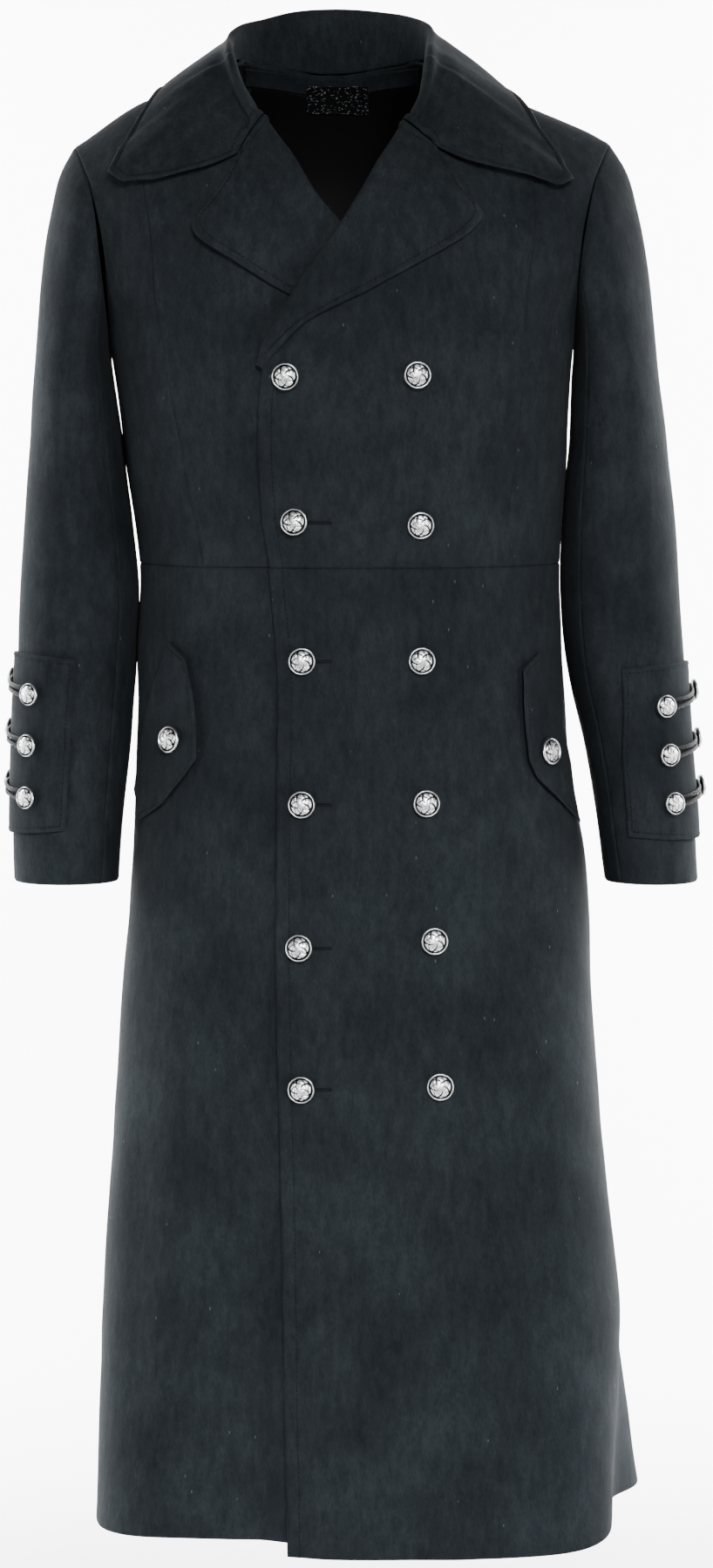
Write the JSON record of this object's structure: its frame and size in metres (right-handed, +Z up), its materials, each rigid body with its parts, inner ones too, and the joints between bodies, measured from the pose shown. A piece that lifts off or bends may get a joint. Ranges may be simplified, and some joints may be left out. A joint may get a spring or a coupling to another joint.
{
  "type": "overcoat",
  "caption": "Long double-breasted wool overcoat with wide lapels, a large turned-down collar, pocket flaps, domed metal buttons and cord loops on the cuffs.",
  "frame": {"origin": "middle of the shoulder line at the base of the neck, where the wearer's shoulders hold the coat up", "axes": "+Z up along the coat, -Y out of its front, +X towards the wearer's left"},
  "size_m": [0.6138, 0.3818, 1.32],
  "materials": {
    "wool_felt": "matt, short felted nap",
    "lining_satin": "smooth satin",
    "button_metal": "domed, raised relief, aged bright",
    "braided_cord": "braided"
  },
  "bodies": {
    "root": {"collar": "wool_felt", "lapel_left": "wool_felt", "lapel_right": "wool_felt", "front_left": "wool_felt", "front_right": "wool_felt", "side_front_left": "wool_felt", "side_front_right": "wool_felt", "back_left": "wool_felt", "back_right": "wool_felt", "back_neck_facing": "wool_felt", "back_lining": "lining_satin", "skirt_front_left": "wool_felt", "skirt_front_right": "wool_felt", "skirt_back_left": "wool_felt", "skirt_back_right": "wool_felt", "sleeve_top_left": "wool_felt", "sleeve_top_right": "wool_felt", "sleeve_under_left": "wool_felt", "sleeve_under_right": "wool_felt", "pocket_flap_left": "wool_felt", "pocket_flap_right": "wool_felt", "cuff_tab_left": "wool_felt", "cuff_tab_right": "wool_felt", "cuff_loop_left_1": "braided_cord", "cuff_loop_left_2": "braided_cord", "cuff_loop_left_3": "braided_cord", "cuff_loop_right_1": "braided_cord", "cuff_loop_right_2": "braided_cord", "cuff_loop_right_3": "braided_cord", "cuff_button_left_front_1": "button_metal", "cuff_button_left_front_2": "button_metal", "cuff_button_left_front_3": "button_metal", "cuff_button_left_back_1": "button_metal", "cuff_button_left_back_2": "button_metal", "cuff_button_left_back_3": "button_metal", "cuff_button_right_front_1": "button_metal", "cuff_button_right_front_2": "button_metal", "cuff_button_right_front_3": "button_metal", "cuff_button_right_back_1": "button_metal", "cuff_button_right_back_2": "button_metal", "cuff_button_right_back_3": "button_metal", "front_button_edge_1": "button_metal", "front_button_edge_2": "button_metal", "front_button_edge_3": "button_metal", "front_button_edge_4": "button_metal", "front_button_edge_5": "button_metal", "front_button_edge_6": "button_metal", "front_button_side_1": "button_metal", "front_button_side_2": "button_metal", "front_button_side_3": "button_metal", "front_button_side_4": "button_metal", "front_button_side_5": "button_metal", "front_button_side_6": "button_metal", "flap_button_left": "button_metal", "flap_button_right": "button_metal"}
  },
  "joints": []
}
